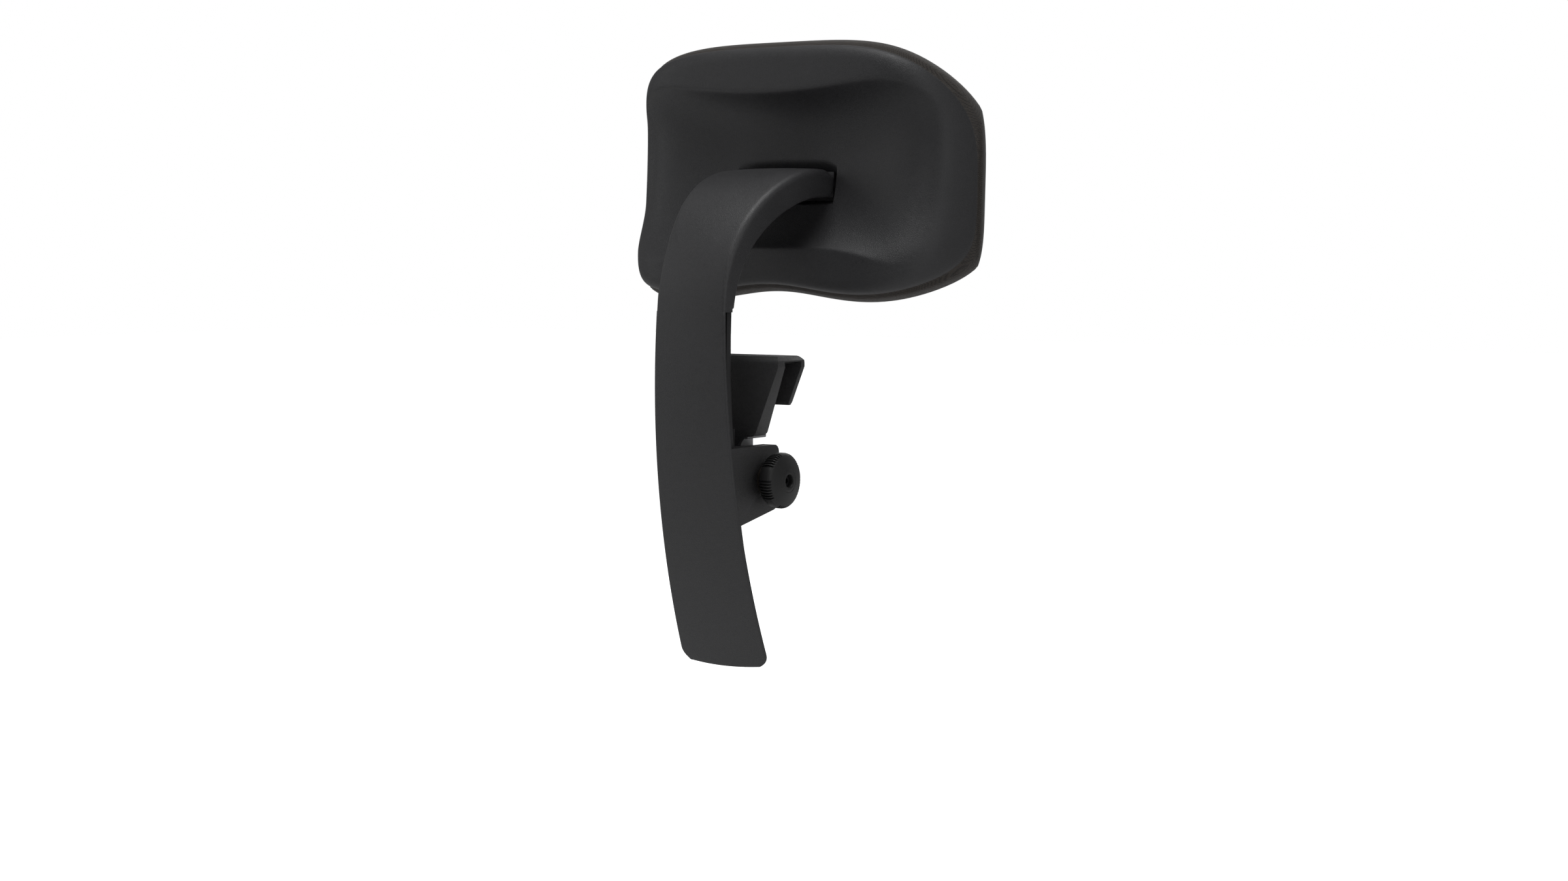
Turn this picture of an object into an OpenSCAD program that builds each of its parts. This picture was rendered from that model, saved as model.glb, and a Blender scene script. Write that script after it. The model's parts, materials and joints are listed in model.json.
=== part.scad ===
// Clamp-on headrest for an office chair with a raised top rail.
// +Z is up and -Y is the side where the head rests. The origin is the middle of
// the seat where the hook lies on the chair's top rail.

/* [Headrest] */
// Width of the headrest's shell
pad_w = 270; // [264:1:290]
// Height of the headrest's shell at its sides
pad_h = 169; // [164:1:178]
// Thickness of the cushion in front of the shell's rim
pad_depth = 48; // [44:1:54]
// How far the ends of the headrest come forward
pad_wrap = 47; // [36:1:50]
// How far the headrest leans forward at rest, in degrees
pad_lean = 2.5; // [0:0.1:5]

/* [Arm] */
// Half width of the arm where it is narrowest, below the bend
arm_half_w = 27.8; // [27:0.1:30]
// Half width of the arm at its lower end
arm_foot_half_w = 35.5; // [32:0.5:38]
// Half width of the arm at the hinge barrel
arm_tip_half_w = 38; // [36:0.5:40]
// Outer radius of the bend
bend_r = 98; // [96:0.5:100]
// Radius of the hinge barrel
barrel_r = 10; // [9.5:0.25:10.5]

/* [Bracket] */
// Width of the hook on the rail
hook_w = 98; // [80:1:110]
// Width of the clamp body
body_w = 60; // [60:1:64]
// Thickness of the rail that fits in the hook
rail_gap = 18; // [16:0.5:19]

/* [Knob] */
// Diameter of the knob
knob_d = 37; // [34:0.5:40]
// Lead of the clamp screw
screw_lead = 3; // [2:0.5:4]

/* [Hidden] */
$fn = 96;
e = 0.01;
fit = 0.3; // gap between parts that slide past each other
close_fit = 0.05; // gap between a shaft and its hole

// Track arc that the arm slides on: its axis runs along X
arc_y = -515;
arc_z = 5;
arc_r = 564.5; // outer face of the arm
plate_t = 2.6; // arm wall that covers the rail
slot_t = 4.2; // side slot that the clamp body's lips run in
flange_t = 4.6; // front flange of the rail
plate_in = arc_r - plate_t;
slot_in = plate_in - slot_t;
flange_in = slot_in - flange_t;
neck_half_w = 18;
flange_half_w = 26.2;
foot_angle = -21.5; // lower end of the arm
rail_foot_angle = -16.75;
bend_angle = 3.33; // where the arc becomes the bend
slot_end_angle = 4.0;

// Bend and barrel
bend_y = arc_y + (arc_r - bend_r) * cos(bend_angle);
bend_z = arc_z + (arc_r - bend_r) * sin(bend_angle);
tip_lean = 3.85; // how far past the bend's top the barrel lies
pivot_y = bend_y - (bend_r - barrel_r) * sin(tip_lean);
pivot_z = bend_z + (bend_r - barrel_r) * cos(tip_lean);
inner_y = -52; // centre of the bend's underside
inner_z = 20.5;
inner_r = 89.4;
axle_r = 4;
bush_r = 6;
ear_x = 18.5;
ear_t = 5.5;
axle_half = 34;

// Headrest, in its own frame: the origin is the middle of the shell's rim
pad_y = -45;
pad_z = 131;
wide_v = -17.4; // height of the widest line
rim_up = pad_h / 2 + 13.5; // from the widest line to the upper edge
rim_down = pad_h / 2 - 13.5;
rim_lift = 9; // how far the lower edge arches up in the middle
band = 6.5; // height of the shell's rim band in the middle
band_end = 2.6; // and at the ends, between the corners
edge_round = 9;
groove = 0.8;
dish = -20; // floor of the dish
wall = 3;
tray_depth = 31.5;
tray_t = 2.5;
fabric_t = 1.2;
points = 72; // directions round the headrest's outline
pocket_half_w = 41;
pocket_floor = 13.6; // in front of the pivot
dp_y = pivot_y - pad_y;
dp_z = pivot_z - pad_z;
piv_y = dp_y * cos(pad_lean) + dp_z * sin(pad_lean);
piv_v = dp_z * cos(pad_lean) - dp_y * sin(pad_lean);

// Clamp
hook_back = 17.2; // rear face of the hook
hook_top = 5.3;
liner_t = 1.5;
hook_foot = -47.4;
hook_foot_half_w = 30;
rail_h = 42.5;
body_top = -54.3;
body_foot = -107;
body_front = -11;
half_body = body_w / 2;
cavity_x0 = -20;
cavity_x1 = 16;
cavity_y0 = -6.5;
cavity_y1 = 13.9;
cavity_z0 = -87;
cavity_z1 = -59.5;
tongue_half_w = 14;
tongue_y0 = 14;
tongue_y1 = 20.5;
tongue_foot = -78;
screw_y = 3.5;
screw_z = -77;
screw_r = 5;
bush_out = 8;
ramp = 0.7; // slope of the wedge, so the jaw moves 0.7 times as far as the wedge
ramp_top = -60;
ramp_l = 8;
ramp_step = 16;
ramp_x0 = -12;
wedge_len = 25;
wedge_y0 = -5.5;
wedge_y1 = 12.5;
knob_x0 = -31.6;
knob_t = 14;
knob_dome = 3;
lobes = 5;
ribs = 7;

// ---- helpers ----

// Extrudes an outline drawn in (y, z) along x
module side_extrude(x0, x1) {
    translate([x0, 0, 0]) rotate([90, 0, 90]) linear_extrude(x1 - x0) children();
}

module x_cylinder(r, x0, x1, y, z) {
    translate([x0, y, z]) rotate([0, 90, 0]) cylinder(r = r, h = x1 - x0);
}

module y_cylinder(r, y0, y1, x, z) {
    translate([x, y0, z]) rotate([-90, 0, 0]) cylinder(r = r, h = y1 - y0);
}

module box(lo, hi) {
    translate(lo) cube(hi - lo);
}

// A piece of the track: radii, half width and angles about the track's axis
module arc_band(r0, r1, half_w, a0, a1) {
    translate([0, arc_y, arc_z]) rotate([90, 0, 90]) rotate([0, 0, a0])
        rotate_extrude(angle = a1 - a0) translate([r0, -half_w]) square([r1 - r0, 2 * half_w]);
}

// Places a child drawn along +Z so that it points outwards along the track's radius
module on_arc(a, r) {
    translate([0, arc_y, arc_z]) rotate([a, 0, 0]) translate([0, r, 0]) rotate([-90, 0, 0]) children();
}

module in_pad() {
    translate([0, pad_y, pad_z]) rotate([pad_lean, 0, 0]) children();
}

// Countersunk screw with a cross recess, head at z = 0 and pointing to +z
module flat_screw(head_r, head_h, r, l) {
    difference() {
        union() {
            cylinder(r1 = head_r, r2 = r, h = head_h);
            translate([0, 0, head_h - e]) cylinder(r = r, h = l - head_h + e);
        }
        for (a = [0, 90]) rotate([0, 0, a])
            box([-head_r * 0.55, -0.45, -1], [head_r * 0.55, 0.45, head_h * 0.6]);
    }
}

// Pan head screw with a hex socket, head under z = 0 and shank to +z
module cap_screw(head_r, head_h, r, l) {
    difference() {
        union() {
            translate([0, 0, -head_h]) cylinder(r = head_r, h = head_h);
            translate([0, 0, -e]) cylinder(r = r, h = l + e);
        }
        translate([0, 0, -head_h - 1]) cylinder(r = head_r * 0.5, h = head_h * 0.6 + 1, $fn = 6);
    }
}

// ---- arm ----

module arm_profile() {
    difference() {
        translate([bend_y, bend_z]) circle(r = bend_r, $fn = 180);
        translate([inner_y, inner_z]) circle(r = inner_r, $fn = 180);
        // below the line where the track's arc ends
        translate([arc_y, arc_z]) rotate(bend_angle) translate([0, -400]) square([1000, 400]);
        // in front of the barrel
        translate([pivot_y - 300, -200]) square([300, 600]);
    }
    translate([pivot_y, pivot_z]) circle(r = barrel_r);
}

// Plan of the bend, which widens towards the barrel: [y, share of the widening]
plan_steps = [[60, 0], [46, 0], [39, 0.07], [31.7, 0.2], [23.2, 0.37], [12.8, 0.57], [1.3, 0.74], [-10, 0.89],
    [-22, 0.97], [-36, 1], [-80, 1]];

module bend_plan(grow = 0) {
    edge = [for (p = plan_steps) [arm_half_w + p[1] * (arm_tip_half_w - arm_half_w) + grow, p[0]]];
    translate([0, 0, 20]) linear_extrude(160)
        polygon(concat(edge, [for (i = [len(edge) - 1:-1:0]) [-edge[i][0], edge[i][1]]]));
}

// Outline of the straight part seen from behind, with rounded lower corners
module foot_outline() {
    top = arc_z + arc_r * sin(bend_angle) + 1.5;
    foot = arc_z + arc_r * sin(foot_angle);
    corner = 9;
    half_foot = arm_foot_half_w;
    polygon(concat([[arm_half_w, top + 5], [-arm_half_w, top + 5], [-arm_half_w, top]],
        [for (a = [180:15:270]) [-half_foot + corner + corner * cos(a), foot + corner + corner * sin(a)]],
        [for (a = [270:15:360]) [half_foot - corner + corner * cos(a), foot + corner + corner * sin(a)]],
        [[arm_half_w, top]]));
}

rail_screw_angles = [-15.2, -11.6, -8, -4.4, 1.6];
boss_r = 4;
boss_h = 3.2;

module arm() {
    color([0.11, 0.11, 0.11]) difference() {
        union() {
            intersection() {
                side_extrude(-60, 60) arm_profile();
                bend_plan();
            }
            intersection() {
                arc_band(plate_in, arc_r, 60, foot_angle - 1, bend_angle);
                translate([0, 80, 0]) rotate([90, 0, 0]) linear_extrude(120) foot_outline();
            }
            for (a = rail_screw_angles) on_arc(a, plate_in - boss_h) cylinder(r = boss_r, h = boss_h + 0.5);
        }
        for (a = rail_screw_angles) on_arc(a, plate_in - boss_h - 1) cylinder(r = 1.75, h = boss_h + 2.4);
        // upper ends of the side slots
        for (x = [-60, neck_half_w]) side_extrude(x, x + 60 - neck_half_w) polygon([
            for (q = [[slot_in, 2.6], [plate_in - 0.1, 2.6], [plate_in - 0.1, slot_end_angle], [slot_in, slot_end_angle]])
                [arc_y + q[0] * cos(q[1]), arc_z + q[0] * sin(q[1])]]);
        // hinge bore, seats of the bushes and plugs, and slots for the ears
        x_cylinder(axle_r + 0.2, -60, 60, pivot_y, pivot_z);
        for (s = [-1, 1]) {
            x_cylinder(bush_r, s > 0 ? ear_x + ear_t + 2 : -60, s > 0 ? 60 : -ear_x - ear_t - 2, pivot_y, pivot_z);
            translate([s * (ear_x + ear_t / 2), pivot_y, pivot_z]) {
                translate([-ear_t / 2 - 1, 0, 0]) rotate([0, 90, 0]) cylinder(r = 8.8, h = ear_t + 2);
                translate([-ear_t / 2 - 1, -20, -barrel_r - 1]) cube([ear_t + 2, 20, 2 * barrel_r + 2]);
            }
        }
    }
}

module arm_rail() {
    color([0.07, 0.07, 0.07]) difference() {
        union() {
            arc_band(slot_in - e, plate_in, neck_half_w - 0.1, rail_foot_angle, bend_angle - 0.05);
            arc_band(flange_in, slot_in, flange_half_w, rail_foot_angle, bend_angle - 0.05);
        }
        for (a = rail_screw_angles) on_arc(a, flange_in - 1) {
            cylinder(r = 1.9, h = 20);
            translate([0, 0, 1 - e]) cylinder(r1 = 3.75, r2 = 1.9, h = 2.3);
            translate([0, 0, plate_in - flange_in - boss_h + 0.8]) cylinder(r = boss_r + 0.1, h = 20);
        }
        for (a = [rail_foot_angle + 0.4, -1.55]) on_arc(a, flange_in - 1) cylinder(r = 1.55, h = 7);
    }
}

module rail_screws() {
    color("silver") for (a = rail_screw_angles) on_arc(a, flange_in + 0.2) flat_screw(3.6, 2, 1.7, 9.4);
}

stop_gap_angle = 0.5;

module lower_stop() {
    color([0.2, 0.2, 0.2]) difference() {
        union() {
            arc_band(flange_in - 3.5, plate_in - 0.2, 21, rail_foot_angle - 1, rail_foot_angle - 0.02);
            arc_band(flange_in - 3.5, flange_in - 0.05, 9, rail_foot_angle - 1, rail_foot_angle + 0.8);
        }
        on_arc(rail_foot_angle + 0.55 - 0.15, flange_in - 5) {
            cylinder(r = 1.6, h = 10);
        }
    }
}

module upper_stop() {
    color([0.2, 0.2, 0.2]) difference() {
        arc_band(flange_in - 5, flange_in - 0.05, 9, -1.95, -1.15);
        on_arc(-1.55, flange_in - 7) cylinder(r = 1.6, h = 10);
    }
}

module stop_screws() {
    color("silver") {
        on_arc(-1.55, flange_in - 5) cap_screw(2.8, 1.8, 1.5, 10);
        on_arc(rail_foot_angle + 0.4, flange_in - 3.5) cap_screw(2.8, 1.8, 1.4, 7);
    }
}

module pivot_bushes() {
    color("ivory") for (s = [-1, 1]) difference() {
        x_cylinder(bush_r - close_fit / 2, s > 0 ? ear_x + ear_t + 2.2 : -axle_half, s > 0 ? axle_half : -ear_x - ear_t - 2.2,
            pivot_y, pivot_z);
        x_cylinder(axle_r + close_fit, -60, 60, pivot_y, pivot_z);
    }
}

module axle_plugs() {
    color([0.11, 0.11, 0.11]) for (s = [-1, 1]) intersection() {
        x_cylinder(bush_r - close_fit / 2, s > 0 ? axle_half + 1 : -60, s > 0 ? 60 : -axle_half - 1, pivot_y, pivot_z);
        bend_plan(-0.02);
    }
}

// ---- bracket ----

// Outline of the hook seen from behind: it tapers to the clamp body and has an arch at each lower corner
module hook_outline(tongue) {
    arch = 10;
    arch_x = hook_foot_half_w - 4;
    foot = hook_foot - arch;
    side = concat([[hook_w / 2 - 3, hook_top], [hook_w / 2, hook_top - 3], [hook_w / 2, -2],
        [hook_foot_half_w + 1, hook_foot + 2], [hook_foot_half_w - 1.2, hook_foot]],
        [for (a = [90:15:180]) [arch_x + arch * cos(a), foot + arch * sin(a)]],
        tongue ? [[tongue_half_w, foot], [tongue_half_w, tongue_foot]] : [[tongue_half_w, foot]]);
    mirrored = [for (i = [len(side) - 1:-1:0]) [-side[i][0], side[i][1]]];
    polygon(concat(side, mirrored));
}

module hook() {
    half_gap = rail_gap / 2 + 0.5;
    color([0.09, 0.09, 0.09]) difference() {
        union() {
            intersection() {
                side_extrude(-hook_w, hook_w) polygon(concat(
                    [[hook_back, hook_foot - 10], [hook_back, hook_top - 5]],
                    [for (a = [15:15:90]) [hook_back - 5 + 5 * cos(a), hook_top - 5 + 5 * sin(a)]],
                    [for (a = [90:15:180]) [-half_gap + 1 + 5 * cos(a), hook_top - 5 + 5 * sin(a)]],
                    [[-half_gap - 4, -26], [-half_gap - 3, -28], [-half_gap - 1, -28], [-half_gap, -26],
                    [-half_gap, liner_t], [half_gap, liner_t], [3, hook_foot - 2], [3, hook_foot - 10]]));
                translate([0, 60, 0]) rotate([90, 0, 0]) linear_extrude(120) hook_outline(false);
            }
            box([-tongue_half_w, tongue_y0, tongue_foot], [tongue_half_w, tongue_y1, hook_foot + 4]);
        }
        for (x = [-8, 8]) y_cylinder(2.1, tongue_y0 - 1, tongue_y1 + 1, x, -70);
        // clearance for the jaw's guide in the clamp body
        box([-hook_w, -20, -80], [hook_w, tongue_y0 - e, hook_foot - 0.6]);
    }
}

module seat_liner() {
    color([0.03, 0.03, 0.03]) box([-44, -rail_gap / 2, 0], [44, rail_gap / 2 - 0.2, liner_t]);
}

// Rubber sheet on the sloping rear wall of the hook
module rear_liner() {
    half_gap = rail_gap / 2 + 0.5;
    drop = hook_foot - 2 - liner_t;
    function wall_y(z) = half_gap + (3 - half_gap) * (z - liner_t) / drop;
    color([0.03, 0.03, 0.03]) side_extrude(-26, 26) polygon([[wall_y(-4), -4], [wall_y(-40), -40],
        [wall_y(-40) - 1.2, -40], [wall_y(-4) - 1.2, -4]]);
}

module body_profile() {
    polygon(concat([[60, body_top], [-6, body_top]],
        [for (a = [105:15:180]) [body_front + 5 + 5 * cos(a), body_top - 5 + 5 * sin(a)]],
        [for (a = [180:15:255]) [body_front + 8 + 8 * cos(a), -90 + 8 * sin(a)]],
        [[40, body_foot], [60, body_foot]]));
}

brake_z = -90;
brake_a = asin((brake_z - arc_z) / flange_in);

module clamp_body() {
    color([0.09, 0.09, 0.09]) difference() {
        intersection() {
            side_extrude(-half_body, half_body) body_profile();
            arc_band(400, plate_in - fit, 60, -14, -2);
        }
        arc_band(flange_in - fit, slot_in + fit, flange_half_w + 0.4, -14, -2);
        arc_band(slot_in, arc_r, neck_half_w + 0.4, -14, -2);
        // screw bore, cavity of the wedge and way in from the front
        x_cylinder(bush_out, -half_body - 1, half_body + 1, screw_y, screw_z);
        box([cavity_x0, cavity_y0, cavity_z0], [cavity_x1, cavity_y1, cavity_z1]);
        box([cavity_x0, body_front - 1, cavity_z0 + 2], [cavity_x1, cavity_y0 + e, cavity_z1 - 4]);
        // guide of the jaw's legs and recess of its head
        box([-14.3, -4.3, cavity_z1 - 1], [10.3, 11.3, body_top + 1]);
        box([-20.5, body_front - 1, -57.3], [20.5, 13.9, body_top + 1]);
        // seat of the hook's tongue and of the foot beside it
        box([-17.2, tongue_y0 - 0.1, hook_foot - 10.3], [17.2, hook_back + 0.2, body_top + 1]);
        box([-tongue_half_w - 0.1, tongue_y0 - 0.1, tongue_foot - 0.2],
            [tongue_half_w + 0.1, tongue_y1 + 0.1, body_top + 1]);
        for (x = [-8, 8]) {
            y_cylinder(2.3, tongue_y0, 60, x, -70);
            y_cylinder(4.4, 28, 60, x, -70);
        }
        // pockets of the brake and the glides
        translate([0, arc_y, arc_z]) rotate([brake_a, 0, 0])
            box([-10.2, flange_in - 6.75, -6.2], [10.2, flange_in + 1, 6.2]);
        for (s = [-1, 1]) translate([s * (flange_half_w + 0.9), 0, 0])
            arc_band(flange_in + 0.4, slot_in - 0.4, 1.1, -10.8, -6.8);
        // cover screws
        for (x = [-17, 13]) y_cylinder(1.3, body_front - 1, cavity_y0 + 1, x, -61 + e);
        for (x = [-17, 13]) y_cylinder(1.3, body_front - 1, -2, x, -90);
    }
}

cover_t = 2;
cover_screws = [[-17, -90], [13, -90]];

module body_cover() {
    color([0.07, 0.07, 0.07]) difference() {
        union() {
            box([cavity_x0 + 0.2, body_front + 0.2, cavity_z0 + 2.2],
                [cavity_x1 - 0.2, cavity_y0 - 0.2, cavity_z1 - 4.2]);
            box([cavity_x0 - 1, body_front - cover_t, -93], [cavity_x1 + 1, body_front, cavity_z1 - 2]);
        }
        for (p = cover_screws) y_cylinder(1.5, -40, 0, p[0], p[1]);
    }
}

module body_cover_screws() {
    color("silver") for (p = cover_screws) translate([p[0], body_front - cover_t, p[1]]) rotate([-90, 0, 0])
        cap_screw(2.4, 1.4, 1.25, 8);
}

module hook_screws() {
    color("silver") for (x = [-8, 8]) translate([x, 28, -70]) rotate([90, 0, 0]) cap_screw(4, 3, 2.05, 13.4);
}

module screw_bushes() {
    color([0.75, 0.55, 0.25]) for (s = [-1, 1]) difference() {
        union() {
            x_cylinder(bush_out - close_fit / 2, s > 0 ? 21 : -half_body, s > 0 ? half_body : -21, screw_y, screw_z);
            x_cylinder(10.5, s > 0 ? half_body : -half_body - 1, s > 0 ? half_body + 1 : -half_body, screw_y, screw_z);
        }
        x_cylinder(screw_r + close_fit, -60, 60, screw_y, screw_z);
    }
}

module screw_end_cap() {
    color([0.09, 0.09, 0.09]) difference() {
        union() {
            x_cylinder(13, half_body + e, half_body + 5, screw_y, screw_z);
            x_cylinder(11.5, half_body + 5 - e, half_body + 6, screw_y, screw_z);
        }
        x_cylinder(10.8, half_body - 1, half_body + 4.6, screw_y, screw_z);
    }
}

module side_glides() {
    color("ivory") for (s = [-1, 1]) translate([s * (flange_half_w + 1.05), 0, 0])
        arc_band(flange_in + 0.6, slot_in - 0.6, 0.9, -10.7, -6.9);
}

module brake_shoe() {
    color([0.25, 0.2, 0.15]) translate([0, arc_y, arc_z]) rotate([brake_a, 0, 0])
        box([-10, flange_in - 4, -6], [10, flange_in - 0.15, 6]);
}

module brake_spring() {
    t = 0.5;
    rise = 2.1;
    span = 9;
    r = (span * span + rise * rise) / (2 * rise);
    half = asin(span / r);
    // bowed strip that pushes the shoe against the rail
    color("silver") translate([0, arc_y, arc_z]) rotate([brake_a, 0, 0])
        translate([0, flange_in - 4.1 - r, 0]) translate([0, 0, -4]) rotate([0, 0, 90 - half])
            rotate_extrude(angle = 2 * half) translate([r - t, 0]) square([t, 8]);
}

// ---- clamp screw and knob ----

module clamp_screw() {
    color("silver") difference() {
        union() {
            x_cylinder(screw_r, knob_x0, half_body + 3.6, screw_y, screw_z);
            x_cylinder(6.5, -20.8, -19.4, screw_y, screw_z);
            translate([knob_x0 - 9.5, screw_y, screw_z]) rotate([0, 90, 0]) cylinder(r = 4.6, h = 10, $fn = 6);
        }
        x_cylinder(2, knob_x0 - 10, knob_x0 + 4, screw_y, screw_z);
        difference() {
            x_cylinder(screw_r + 1, half_body + 1.5, half_body + 2.6, screw_y, screw_z);
            x_cylinder(screw_r - 0.6, half_body + 1, half_body + 3, screw_y, screw_z);
        }
    }
}

module retaining_ring() {
    color("silver") difference() {
        x_cylinder(7.5, half_body + 1.55, half_body + 2.55, screw_y, screw_z);
        x_cylinder(screw_r - 0.55, 0, 60, screw_y, screw_z);
        box([0, screw_y - 1.5, screw_z - 12], [60, screw_y + 1.5, screw_z]);
    }
}

module knob_screw() {
    color("silver") translate([knob_x0 - 12.2, screw_y, screw_z]) rotate([0, 90, 0]) cap_screw(3.6, 2.2, 1.95, 13);
}

module knob_washer() {
    color("silver") difference() {
        x_cylinder(4.1, knob_x0 - 12.2, knob_x0 - 11.2, screw_y, screw_z);
        x_cylinder(2.1, -60, 0, screw_y, screw_z);
    }
}

// Knob with groups of grooves round its flared rim
module knob() {
    r = knob_d / 2;
    color([0.05, 0.05, 0.05]) translate([knob_x0, screw_y, screw_z]) rotate([0, -90, 0]) difference() {
        rotate_extrude() polygon(concat([[0, 0.4], [12, 0.4], [12, 2], [13.5, 2.4]],
            [for (a = [0:15:75]) [r - 4 + 4 * sin(a) - 0.6 * cos(a), 9 - 5 * cos(a)]],
            [for (a = [0:15:90]) [r - 2 + 2 * cos(a), knob_t - 2 + 2 * sin(a)]],
            [[r * 0.6, knob_t + knob_dome * 0.75], [r * 0.3, knob_t + knob_dome], [0, knob_t + knob_dome]]));
        translate([0, 0, -1]) cylinder(r = 4.7, h = 11, $fn = 6);
        translate([0, 0, -1]) cylinder(r = 2.2, h = 20);
        translate([0, 0, 11.2]) cylinder(r = 4.3, h = 20);
        for (i = [0:lobes - 1], k = [0:ribs - 1])
            rotate([0, 0, i * 360 / lobes + (k - (ribs - 1) / 2) * 5.6 + 20])
                translate([r + 0.1, -0.5, 3]) rotate([0, -8, 0]) cube([2, 1, knob_t - 4.5], center = false);
    }
}

// ---- wedge and jaw ----

module wedge_nut() {
    top_points = [for (k = [0, 1]) each [[ramp_x0 + k * ramp_step, ramp_top],
        [ramp_x0 + k * ramp_step + ramp_l, ramp_top - ramp * ramp_l],
        [ramp_x0 + k * ramp_step + ramp_l, -69]]];
    outline = concat([[ramp_x0, -86]], [top_points[0], top_points[1], top_points[2]],
        [[ramp_x0 + ramp_step, -69]], [top_points[3], top_points[4], top_points[5]],
        [[ramp_x0 + wedge_len, -69], [ramp_x0 + wedge_len, -86]]);
    color([0.75, 0.6, 0.3]) difference() {
        translate([0, wedge_y1, 0]) rotate([90, 0, 0]) linear_extrude(wedge_y1 - wedge_y0) polygon(outline);
        x_cylinder(screw_r + close_fit, -60, 60, screw_y, screw_z);
    }
}

jaw_gap = 0.15;
jaw_top = -rail_h - 1.5;

module clamp_jaw() {
    color([0.3, 0.3, 0.3]) {
        // the head steps down behind the rail, under the hook's foot
        box([-20, -10.5, -50], [20, 11, hook_foot - 1]);
        box([-20, -10.5, -50], [20, 2.4, jaw_top]);
        for (k = [0, 1]) {
            x0 = ramp_x0 + k * ramp_step;
            translate([0, 11, 0]) rotate([90, 0, 0]) linear_extrude(15) polygon([[x0 - 2, -50 + e],
                [x0 - 2, ramp_top + 2 * ramp + jaw_gap], [x0 + 6, ramp_top - 6 * ramp + jaw_gap], [x0 + 6, -50 + e]]);
        }
    }
}

module jaw_pad() {
    color([0.03, 0.03, 0.03]) box([-19, -9.5, jaw_top], [19, 1.2, -rail_h]);
}

// ---- headrest ----

function smooth(t) = let (c = min(1, max(0, t))) c * c * (3 - 2 * c);

// Outline of the rim in (x, v), moved inwards by d: two superellipses that meet at the widest line
function rim_point(t, d) = let (
    up = sin(t) >= 0,
    n = up ? 3.7 : 4.4,
    b = (up ? rim_up : rim_down) - d,
    k = pow(pow(abs(cos(t)), n) + pow(abs(sin(t)), n), -1 / n),
    x = (pad_w / 2 - d) * k * cos(t),
    lift = up ? 0 : rim_lift * exp(-pow(x / 55, 2)) * abs(sin(t)))
    [x, wide_v + b * k * sin(t) + lift];

// Surfaces of the headrest: y as a function of the place on it
function side(x) = min(1, abs(x) / (pad_w / 2));
function rim_y(x) = -pad_wrap * pow(side(x), 8);
function crease_up(x) = 49.7 + 20.6 * pow(side(x), 2) - 3.7 * pow(side(x), 4) - 54.2 * pow(side(x), 8);
function crease_down(x) = -55.3 + 7.9 * pow(side(x), 2) - 78.1 * pow(side(x), 4) + 99 * pow(side(x), 8);
function band_y(x, v) = band + pow(side(x), 2)
    * (band_end + 8.5 * smooth((-22 - v) / 36) + 3 * smooth((v - 30) / 30) - band);
function soft_min(a, b, reach) = min(a, b) - pow(max(reach - abs(a - b), 0) / reach, 2) * reach / 4;
// how far the saddle lies under the band
function dish_depth(x, v) = -soft_min(0,
    dish + 22.2 * pow(side(x), 2.6) + 6 * pow((v - 12) / 45, 2) - band_y(x, v), 6);
function back_y(x, v) = let (
    d = min(crease_up(x) - v, v - crease_down(x)),
    inside = (d + sqrt(d * d + 2.6)) / 2)
    rim_y(x) + band_y(x, v) - dish_depth(x, v) * (1 - exp(-inside / 10));
function back_edge_y(x, v, d) = rim_y(x) + groove
    + (back_y(x, v) - rim_y(x) - groove) * sqrt(1 - pow(1 - min(1, d / edge_round), 2));
function inner_y(x, v, d) = d < 14 ? max(back_y(x, v) - wall, rim_y(x) + groove) : back_y(x, v) - wall;
function tray_y(x, d) = rim_y(x) - 0.5 - tray_depth * (1 - 0.85 * pow(side(x), 2)) * smooth((d - 3) / 14);

// Rings of points: [how far in from the outline, scale]
back_rings = [for (s = [0.1, 0.22, 0.34, 0.46, 0.56, 0.65, 0.73, 0.8, 0.86, 0.91, 0.96]) [edge_round, s]];
edge_rings = [for (d = [edge_round, 6, 3.5, 1.6, 0.4, 0]) [d, 1]];

function place(ring, t) = let (p = rim_point(t, ring[0])) [p[0] * ring[1], (p[1] + 5) * ring[1] - 5];
function reversed(list) = [for (i = [len(list) - 1:-1:0]) list[i]];
function directions() = [for (i = [0:points - 1]) i * 360 / points];

function ring_back(ring) = [for (t = directions()) let (p = place(ring, t))
    [p[0], ring[1] < 1 ? back_y(p[0], p[1]) : back_edge_y(p[0], p[1], ring[0]), p[1]]];
function ring_inner(ring) = [for (t = directions()) let (p = place(ring, t))
    [p[0], inner_y(p[0], p[1], ring[0] + (1 - ring[1]) * 70), p[1]]];
function ring_tray(ring, back) = [for (t = directions())
    let (p = place(ring, t), d = ring[0] + (1 - ring[1]) * 70) [p[0], tray_y(p[0], d) - back, p[1]]];
function ring_flat(d, y) = [for (t = directions()) let (p = place([d, 1], t)) [p[0], rim_y(p[0]) + y, p[1]]];

// Closed solid through a list of rings, from the middle of the first to the middle of the last
// flip takes the other diagonal of each patch, so that nested surfaces match
module skin(rings, flip = false) {
    n = points;
    count = len(rings);
    function middle(ring) = [for (k = [0:2]) (ring[0][k] + ring[n / 2][k]) / 2];
    pts = concat([for (r = rings) each r], [middle(rings[0]), middle(rings[count - 1])]);
    faces = concat(
        [for (i = [0:n - 1]) [count * n, i, (i + 1) % n]],
        [for (r = [0:count - 2], i = [0:n - 1]) let (a = r * n + i, b = r * n + (i + 1) % n) each flip
            ? [[a, a + n, b], [b, a + n, b + n]] : [[a, a + n, b + n], [a, b + n, b]]],
        [for (i = [0:n - 1]) [count * n + 1, (count - 1) * n + (i + 1) % n, (count - 1) * n + i]]);
    polyhedron(points = pts, faces = faces, convexity = 6);
}

module in_front_of_back(front) {
    skin(concat([for (r = back_rings) ring_back(r)], [for (r = edge_rings) ring_back(r)],
        [ring_flat(0, front), ring_flat(60, front)]));
}

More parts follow.
